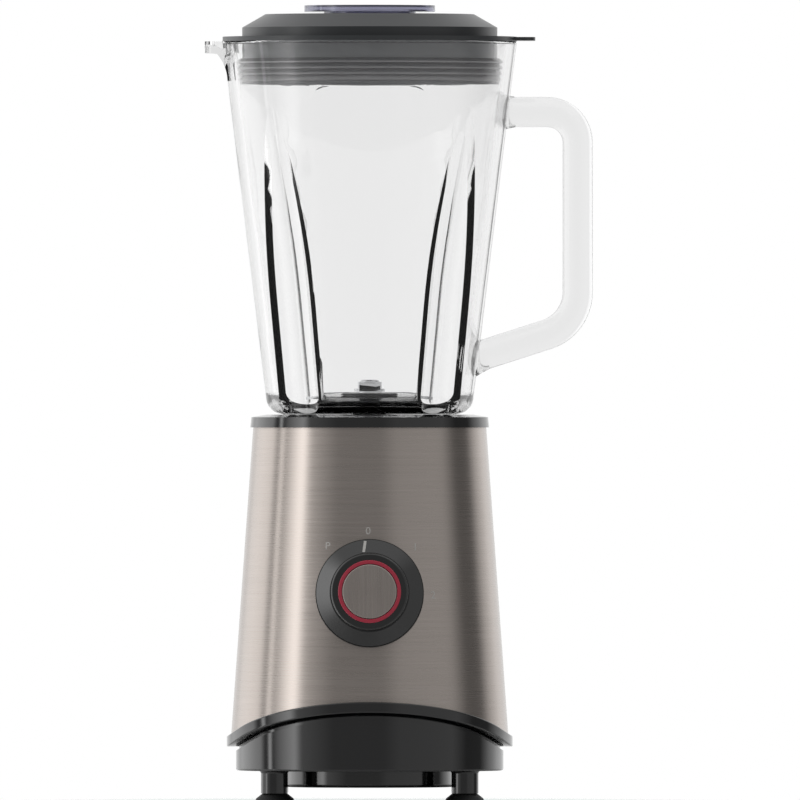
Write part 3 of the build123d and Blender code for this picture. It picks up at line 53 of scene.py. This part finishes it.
def add_node(tree, kind, sockets=None, **settings):
    """Adds a node: settings are its properties, sockets its inputs, each a value or another's output."""
    made = tree.nodes.new(kind)
    for name, value in settings.items():
        setattr(made, name, value)
    for name, value in (sockets or {}).items():
        if isinstance(value, bpy.types.NodeSocket):
            tree.links.new(value, made.inputs[name])
        else:
            made.inputs[name].default_value = value
    return made


# Studio: a white room with tall soft boxes on the left, a broad dim one on the right and a dark
# side to the front. What a polished wall shows of them depends only on the way that it faces.
# Each entry is degrees round from the front and the light there.
softboxes = [
    (-180, 0.96), (-150, 0.98), (-144, 1.3), (-128, 1.5), (-109, 1.4), (-103, 0.25), (-99, 0.2),
    (-97, 2.6), (-95, 2.6), (-93, 0.2), (-86, 1.0), (-78, 1.7), (-68, 2.6), (-61, 0.7), (-42, 0.44),
    (-32, 0.3), (12, 0.3), (26, 0.46), (76, 0.52), (92, 0.15), (111, 0.14), (124, 0.7), (142, 1.1),
    (160, 0.98), (180, 0.96),
]
ceiling_light = 0.85
ceiling_from, ceiling_to = 0.55, 0.8  # steepness at which the walls give way to the ceiling
seen_through_glass = 0.5  # share of white in what glass shows of the room
brightest = max(light for degrees, light in softboxes)
room = bpy.data.worlds.new("studio")
room.use_nodes = True
tree = room.node_tree
tree.nodes.clear()
outward = add_node(tree, "ShaderNodeTexCoord").outputs["Generated"]
heading = add_node(tree, "ShaderNodeSeparateXYZ", {0: outward})
back_to_front = add_node(tree, "ShaderNodeMath", {0: heading.outputs[1], 1: -1.0}, operation="MULTIPLY")
turn = add_node(
    tree, "ShaderNodeMath", {0: heading.outputs[0], 1: back_to_front.outputs[0]}, operation="ARCTAN2"
)
share = add_node(
    tree, "ShaderNodeMapRange", {"Value": turn.outputs[0], "From Min": -math.pi, "From Max": math.pi}
)
ring = add_node(tree, "ShaderNodeValToRGB", {"Fac": share.outputs[0]})
stops = ring.color_ramp.elements
stops[0].position, stops[1].position = 0.0, 1.0
for degrees, light in softboxes[1:-1]:
    stops.new((degrees + 180) / 360)
for stop, (degrees, light) in zip(stops, softboxes):
    stop.color = (light / brightest, light / brightest, light / brightest, 1)
walls = add_node(tree, "ShaderNodeBackground", {"Color": ring.outputs[0], "Strength": brightest})
ceiling = add_node(tree, "ShaderNodeBackground", {"Color": (1, 1, 1, 1), "Strength": ceiling_light})
height = add_node(
    tree, "ShaderNodeMapRange",
    {"Value": heading.outputs[2], "From Min": ceiling_from, "From Max": ceiling_to},
)
boxes = add_node(
    tree, "ShaderNodeMixShader", {0: height.outputs[0], 1: walls.outputs[0], 2: ceiling.outputs[0]}
)
white = add_node(tree, "ShaderNodeBackground", {"Color": (1, 1, 1, 1), "Strength": 1.0})
path = add_node(tree, "ShaderNodeLightPath")
through = add_node(
    tree, "ShaderNodeMath", {0: path.outputs["Is Transmission Ray"], 1: seen_through_glass},
    operation="MULTIPLY",
)
seen = add_node(
    tree, "ShaderNodeMath", {0: path.outputs["Is Camera Ray"], 1: through.outputs[0]}, operation="MAXIMUM"
)
light = add_node(
    tree, "ShaderNodeMixShader", {0: seen.outputs[0], 1: boxes.outputs[0], 2: white.outputs[0]}
)
add_node(tree, "ShaderNodeOutputWorld", {"Surface": light.outputs[0]})
scene.world = room

# Floor: a plain pale sweep of matt paint that takes a soft contact shadow close to the feet and
# fades to nothing a little further out, so that the white of the room carries on without an edge.
floor_radius = 1.6
fade_from, fade_to = 0.06, 0.22
bpy.ops.object.select_all(action="DESELECT")
bpy.ops.mesh.primitive_circle_add(vertices=96, radius=floor_radius, fill_type="NGON", location=(0, 0, 0))
floor = bpy.context.object
floor.name = "floor"
floor_paint = bpy.data.materials.new("pale_floor_paint")
floor_paint.use_nodes = True
tree = floor_paint.node_tree
tree.nodes.clear()
place = add_node(tree, "ShaderNodeTexCoord").outputs["Object"]
away = add_node(tree, "ShaderNodeVectorMath", {0: place}, operation="LENGTH")
fade = add_node(
    tree, "ShaderNodeMapRange", {"Value": away.outputs["Value"], "From Min": fade_from, "From Max": fade_to}
)
paint = add_node(tree, "ShaderNodeBsdfDiffuse", {"Color": (0.8, 0.8, 0.8, 1)})
clear = add_node(tree, "ShaderNodeBsdfTransparent")
blend = add_node(tree, "ShaderNodeMixShader", {0: fade.outputs[0], 1: paint.outputs[0], 2: clear.outputs[0]})
add_node(tree, "ShaderNodeOutputMaterial", {"Surface": blend.outputs[0]})
floor.data.materials.append(floor_paint)


def linear(code):
    """The linear colour of an sRGB hex code."""
    parts = [int(code[n:n + 2], 16) / 255 for n in (1, 3, 5)]
    return (*[c / 12.92 if c <= 0.04045 else ((c + 0.055) / 1.055) ** 2.4 for c in parts], 1.0)


def new_finish(name, shader):
    """A material with one Principled shader: gives the material, its tree, the shader and a place."""
    made = bpy.data.materials.new(name)
    made.use_nodes = True
    made.node_tree.nodes.clear()
    surface = add_node(made.node_tree, "ShaderNodeBsdfPrincipled", shader)
    add_node(made.node_tree, "ShaderNodeOutputMaterial", {"Surface": surface.outputs[0]})
    return made, made.node_tree, surface, add_node(made.node_tree, "ShaderNodeTexCoord").outputs["Object"]


def dress(material, *names):
    """Gives CAD nodes their material."""
    for name in names:
        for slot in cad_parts[name].material_slots:
            slot.material = material


def moulded(name, colours, rough, grain, depth, shader):
    """Moulded plastic or rubber: two near colours, a skin with a grain of that size in millimetres."""
    made, tree, surface, place = new_finish(name, shader)
    skin = add_node(tree, "ShaderNodeTexNoise", {"Vector": place, "Scale": 1000 / grain, "Detail": 3.0})
    cloud = add_node(tree, "ShaderNodeTexNoise", {"Vector": place, "Scale": 45.0, "Detail": 2.0})
    tint = add_node(
        tree, "ShaderNodeMix",
        {0: cloud.outputs["Fac"], 6: linear(colours[0]), 7: linear(colours[1])}, data_type="RGBA",
    )
    sheen = add_node(
        tree, "ShaderNodeMapRange", {"Value": cloud.outputs["Fac"], "To Min": rough[0], "To Max": rough[1]}
    )
    bump = add_node(
        tree, "ShaderNodeBump", {"Height": skin.outputs["Fac"], "Strength": 0.35, "Distance": depth / 1000}
    )
    tree.links.new(tint.outputs[2], surface.inputs["Base Color"])
    tree.links.new(sheen.outputs[0], surface.inputs["Roughness"])
    tree.links.new(bump.outputs[0], surface.inputs["Normal"])
    return made


# Base housing, trim band, exhaust hub and top deck: ABS moulded in a polished tool, so that they
# are near black with sharp reflections and the faint waviness of a moulded skin. They clip and
# screw together under the sleeve and over it.
gloss_abs = moulded(
    "polished_black_abs", ("#070708", "#0c0c0d"), (0.07, 0.12), 3.0, 0.01,
    {"IOR": 1.65, "Coat Weight": 0.2, "Coat Roughness": 0.04},
)
dress(gloss_abs, "base_housing", "lower_trim", "top_deck", "vent_hub")

# Feet, jar pad, shaft seal and motor mounts: nitrile rubber pressed in a matt mould. It is deep
# black with almost no shine, and its grain breaks up what little there is.
rubber = moulded(
    "matt_black_rubber", ("#0e0e0e", "#171717"), (0.55, 0.7), 0.6, 0.03, {"IOR": 1.5}
)
dress(rubber, "suction_feet", "seat_pad", "shaft_seal", "motor_mounts")

# Cord inlet, knob bezel, tie tubes and terminal block: nylon and ABS with the fine spark-eroded
# grain of a part that is little seen, which gives a soft grey sheen.
satin_abs = moulded(
    "grained_black_abs", ("#141415", "#1b1b1c"), (0.34, 0.46), 0.5, 0.02, {"IOR": 1.53}
)
dress(satin_abs, "cord_inlet", "knob_bezel", "tie_tubes", "terminal_block")

# Sleeve: stainless sheet brushed level round the cone under a warm grey lacquer, so that bright and
# dark bands stay upright while each spot's shine spreads. The knob's cap is the same sheet, spun
# against the brush, so its shine turns round its middle.
brush_pitch = 0.7  # real scratches are 0.1 mm apart, too fine to show
scratch_run = 22  # scratches fade in and out this many times in a metre


def brushed(name, along, shader):
    """Brushed metal whose scratches lie across the way that along stretches most."""
    made, tree, surface, place = new_finish(name, shader)
    stretch = add_node(tree, "ShaderNodeMapping", {"Vector": place, "Scale": along})
    hairs = add_node(tree, "ShaderNodeTexNoise", {"Vector": stretch.outputs[0], "Scale": 1.0, "Detail": 5.0})
    tint = add_node(
        tree, "ShaderNodeMix",
        {0: hairs.outputs["Fac"], 6: linear("#a79f99"), 7: linear("#b9b0aa")}, data_type="RGBA",
    )
    sheen = add_node(
        tree, "ShaderNodeMapRange", {"Value": hairs.outputs["Fac"], "To Min": 0.22, "To Max": 0.34}
    )
    bump = add_node(
        tree, "ShaderNodeBump", {"Height": hairs.outputs["Fac"], "Strength": 0.05, "Distance": 0.0001}
    )
    tree.links.new(tint.outputs[2], surface.inputs["Base Color"])
    tree.links.new(sheen.outputs[0], surface.inputs["Roughness"])
    tree.links.new(bump.outputs[0], surface.inputs["Normal"])
    return made


sleeve_steel = brushed(
    "lacquered_brushed_steel", (scratch_run, scratch_run, 1000 / brush_pitch),
    {"Metallic": 1.0, "Anisotropic": 0.8, "Anisotropic Rotation": 0.25},
)
round_axis = add_node(sleeve_steel.node_tree, "ShaderNodeTangent", direction_type="RADIAL", axis="Z")
sleeve_shader = sleeve_steel.node_tree.nodes["Principled BSDF"]
sleeve_steel.node_tree.links.new(round_axis.outputs[0], sleeve_shader.inputs["Tangent"])
dress(sleeve_steel, "body_sleeve")
knob_steel = brushed(
    "spun_brushed_steel", (1000 / brush_pitch, scratch_run, scratch_run),
    {"Metallic": 1.0, "Anisotropic": 0.8},
)
round_knob = add_node(knob_steel.node_tree, "ShaderNodeTangent", direction_type="RADIAL", axis="Y")
knob_shader = knob_steel.node_tree.nodes["Principled BSDF"]
knob_steel.node_tree.links.new(round_knob.outputs[0], knob_shader.inputs["Tangent"])
dress(knob_steel, "knob_cap")

# Knob: a polished ABS body on a conical skirt, with a polished red ring let in round its steel cap and
# a pale line inlaid in the skirt to point at the dial.
knob_abs = moulded(
    "satin_black_abs", ("#0b0c0c", "#101111"), (0.12, 0.18), 1.5, 0.01, {"IOR": 1.7}
)
dress(knob_abs, "knob_skirt", "knob_body")
red_acrylic = moulded(
    "polished_red_acrylic", ("#a32138", "#b42a44"), (0.12, 0.18), 3.0, 0.01,
    {"IOR": 1.49, "Coat Weight": 0.5},
)
dress(red_acrylic, "knob_ring")
pale_ink = moulded(
    "pale_grey_ink", ("#bab8b4", "#c6c4c0"), (0.4, 0.5), 0.4, 0.01, {"IOR": 1.5}
)
dress(pale_ink, "knob_pointer")

# Dial marks: four small figures pad-printed on the sleeve round the knob, in pale grey ink. They
# are cut as flat letters, wrapped on to the sleeve and given the thickness of the ink.
ink_lift = 0.00006
ink_thickness = 0.00003
ink_height = 0.0036
capital_share = 0.7  # a capital's height over the size of its fount
before_sleeve = -0.08
dial_z = 0.1029
dial_marks = (
    ("dial_off", "0", -0.7, 30.3), ("dial_pulse", "P", -20.4, 23.0), ("dial_low", "1", 22.2, 22.4),
    ("dial_high", "2", 31.0, -1.0),
)  # name, figure, and millimetres across and up from the knob's middle
for name, figure, across, up in dial_marks:
    bpy.ops.object.select_all(action="DESELECT")
    bpy.ops.object.text_add(rotation=(math.radians(90), 0, 0))
    mark = bpy.context.object
    mark.data.body = figure
    mark.data.size = ink_height / capital_share
    mark.data.align_x = "CENTER"
    mark.data.align_y = "CENTER"
    mark.location = (across / 1000, before_sleeve, dial_z + up / 1000)
    bpy.ops.object.convert(target="MESH")
    mark = bpy.context.object
    mark.name = mark.data.name = name
    bpy.ops.object.transform_apply(location=True, rotation=True, scale=True)
    wrap = mark.modifiers.new("wrap", "SHRINKWRAP")
    wrap.wrap_method = "PROJECT"
    wrap.use_project_y = True
    wrap.use_negative_direction = True
    wrap.use_positive_direction = True
    wrap.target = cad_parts["body_sleeve"]
    wrap.offset = ink_lift
    bpy.ops.object.modifier_apply(modifier=wrap.name)
    film = mark.modifiers.new("film", "SOLIDIFY")
    film.thickness = ink_thickness
    bpy.ops.object.modifier_apply(modifier=film.name)
    bpy.ops.object.mode_set(mode="EDIT")
    bpy.ops.mesh.select_all(action="SELECT")
    bpy.ops.mesh.normals_make_consistent(inside=False)
    bpy.ops.object.mode_set(mode="OBJECT")
    mark.data.materials.clear()
    mark.data.materials.append(pale_ink)
    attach(mark, "base")

# Jar, spout and handle: pressed soda-lime glass, thick and very clear. Its walls bend what is
# behind them, so their edges and the four flutes show as dark lines, and the thickest glass, in the
# handle, is greyest. Its bending is a little under that of real soda-lime glass.
glass, tree, surface, place = new_finish(
    "pressed_clear_glass",
    {"Base Color": linear("#fefefe"), "Transmission Weight": 1.0, "IOR": 1.4, "Roughness": 0.0},
)
depth_grey = add_node(
    tree, "ShaderNodeVolumeAbsorption", {"Color": linear("#808080"), "Density": 14.0}
)
tree.links.new(depth_grey.outputs[0], tree.nodes["Material Output"].inputs["Volume"])
ripple = add_node(tree, "ShaderNodeTexNoise", {"Vector": place, "Scale": 35.0, "Detail": 1.0})
swell = add_node(
    tree, "ShaderNodeBump", {"Height": ripple.outputs["Fac"], "Strength": 0.06, "Distance": 0.002}
)
tree.links.new(swell.outputs[0], surface.inputs["Normal"])
dress(glass, "glass_jar", "jar_spout", "jar_handle")

# Lid: polypropylene with a matt spark-eroded skin, dark grey, soft in the light. Its plug under
# the rim is polished, so that the gasket slides on, and shows bands through the glass. Its paler
# grey is painted sheen: the plug is the same dark plastic, brightened to stand in for those bands.
lid_pp = moulded(
    "matt_grey_polypropylene", ("#333537", "#3a3c3e"), (0.3, 0.38), 0.6, 0.02, {"IOR": 1.49}
)
# Painted sheen: a paler grey on the dark plug that stands in for the bright bands it reflects.
plug_painted_sheen_grey = linear("#77797b")
plug_rough = 0.14
skin_change = 0.001
rim_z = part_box("glass_jar")[1][2]
tree = lid_pp.node_tree
surface = tree.nodes["Principled BSDF"]
lid_place = tree.nodes["Texture Coordinate"].outputs["Object"]
level = add_node(tree, "ShaderNodeSeparateXYZ", {0: lid_place})
plug = add_node(
    tree, "ShaderNodeMapRange",
    {"Value": level.outputs[2], "From Min": rim_z, "From Max": rim_z - skin_change},
)
skin_colour = surface.inputs["Base Color"].links[0].from_socket
# Mixes the skin's own grey with the painted sheen grey below the rim.
skin_and_painted_sheen = add_node(
    tree, "ShaderNodeMix", {0: plug.outputs[0], 6: skin_colour, 7: plug_painted_sheen_grey}, data_type="RGBA"
)
tree.links.new(skin_and_painted_sheen.outputs[2], surface.inputs["Base Color"])
skin_rough = surface.inputs["Roughness"].links[0].from_socket
two_skins = add_node(tree, "ShaderNodeMix", {0: plug.outputs[0], 2: skin_rough, 3: plug_rough})
tree.links.new(two_skins.outputs[0], surface.inputs["Roughness"])
dress(lid_pp, "jar_lid", "cap_seat")

# Lid gasket and jar washers: grey silicone pressed in a polished mould and stretched into place.
# Its smooth skin gives it a wet, glassy shine along each rib.
silicone = moulded(
    "smooth_grey_silicone", ("#747476", "#7f7f81"), (0.1, 0.16), 2.0, 0.01, {"IOR": 2.0}
)
dress(silicone, "lid_gasket", "jar_seals")

# Measuring cap: clear styrene-acrylic tinted violet grey, moulded in one and dropped into the lid.
# Light passes through it, and its flange is darker where it is thicker.
cap_plastic, tree, surface, place = new_finish(
    "tinted_clear_san",
    {"Base Color": linear("#9c9cb4"), "Transmission Weight": 0.75, "IOR": 1.5, "Roughness": 0.08},
)
flow = add_node(tree, "ShaderNodeTexNoise", {"Vector": place, "Scale": 60.0, "Detail": 1.0})
swell = add_node(
    tree, "ShaderNodeBump", {"Height": flow.outputs["Fac"], "Strength": 0.08, "Distance": 0.001}
)
tree.links.new(swell.outputs[0], surface.inputs["Normal"])
dress(cap_plastic, "measuring_cap")


def machined(name, colours, rough, pitch, shader):
    """Bare metal with turning or rolling marks of that pitch in millimetres along Z."""
    made, tree, surface, place = new_finish(name, {"Metallic": 1.0, **shader})
    stretch = add_node(tree, "ShaderNodeMapping", {"Vector": place, "Scale": (60, 60, 1000 / pitch)})
    marks = add_node(tree, "ShaderNodeTexNoise", {"Vector": stretch.outputs[0], "Scale": 1.0, "Detail": 3.0})
    tint = add_node(
        tree, "ShaderNodeMix",
        {0: marks.outputs["Fac"], 6: linear(colours[0]), 7: linear(colours[1])}, data_type="RGBA",
    )
    sheen = add_node(
        tree, "ShaderNodeMapRange", {"Value": marks.outputs["Fac"], "To Min": rough[0], "To Max": rough[1]}
    )
    bump = add_node(
        tree, "ShaderNodeBump", {"Height": marks.outputs["Fac"], "Strength": 0.15, "Distance": 0.0001}
    )
    tree.links.new(tint.outputs[2], surface.inputs["Base Color"])
    tree.links.new(sheen.outputs[0], surface.inputs["Roughness"])
    tree.links.new(bump.outputs[0], surface.inputs["Normal"])
    return made


# Blades, spindle, spacers and nut: hardened stainless steel, ground and polished and clamped on the
# spindle. They are bright, with fine marks that break up each highlight.
blade_steel = machined("polished_stainless_steel", ("#c2c3c5", "#d4d5d6"), (0.12, 0.22), 0.8, {})
dress(blade_steel, "lower_blade", "upper_blade", "blade_spindle", "blade_spacers", "blade_nut")

# Screws, nuts, shafts, the jar's pin and terminals: cold-formed or turned steel, zinc plated, which
# gives them an even, slightly cloudy silver.
plated_steel = machined("zinc_plated_steel", ("#a9abae", "#bcbec0"), (0.25, 0.38), 0.5, {})
dress(
    plated_steel,
    "hub_screws", "tie_screws", "motor_screws", "motor_nuts", "mount_screws", "switch_nut",
    "motor_shaft", "switch_shaft", "interlock_pin", "switch_terminals",
)

# Stator and armature cores: stamped sheets of electrical steel, stacked and varnished. They are
# dark, and the edges of the sheets show as fine level lines.
lamination = machined("varnished_electrical_steel", ("#3d3b3a", "#5a5755"), (0.4, 0.55), 0.5, {})
dress(lamination, "stator_core", "armature_core")

# Windings and commutator: copper wire under clear enamel, and bare copper bars. They glow a warm
# red brown next to the grey steel.
copper = machined("enamelled_copper", ("#8a4a24", "#b5693a"), (0.25, 0.4), 0.6, {})
dress(copper, "field_coils", "armature_windings", "commutator")

# Motor brackets: aluminium cast in a die and left as it comes out, bolted through the stator. The
# cast skin is pale and matt.
cast_aluminium = machined("die_cast_aluminium", ("#9a9b9c", "#adaeb0"), (0.45, 0.6), 0.9, {})
dress(cast_aluminium, "upper_bracket", "lower_bracket")

# Bushes and brush boxes: pressed and sintered bronze, soaked in oil and pushed into their seats. It
# is a dull yellow brown.
bronze = machined("sintered_bronze", ("#8f6f3c", "#a9854c"), (0.35, 0.5), 0.4, {})
dress(bronze, "motor_bushes", "spindle_bushes", "brush_holders")

# Brushes: blocks of pressed carbon that slide in their boxes. They are black, with the soft gleam of
# graphite.
carbon = moulded("pressed_carbon", ("#1c1c1d", "#2a2a2b"), (0.45, 0.6), 0.5, 0.02, {"IOR": 1.8})
dress(carbon, "carbon_brushes")

# Couplings, blade housing and its nut, fan and switches: nylon moulded with glass fibre. The fibres
# near the skin leave it black with a dry, uneven sheen.
nylon = moulded(
    "black_glass_filled_nylon", ("#18181a", "#242427"), (0.3, 0.42), 0.5, 0.02, {"IOR": 1.53}
)
dress(
    nylon,
    "cooling_fan", "drive_coupling", "driven_coupling", "blade_housing", "housing_nut",
    "rotary_switch", "interlock_switch", "suppression_capacitor",
)
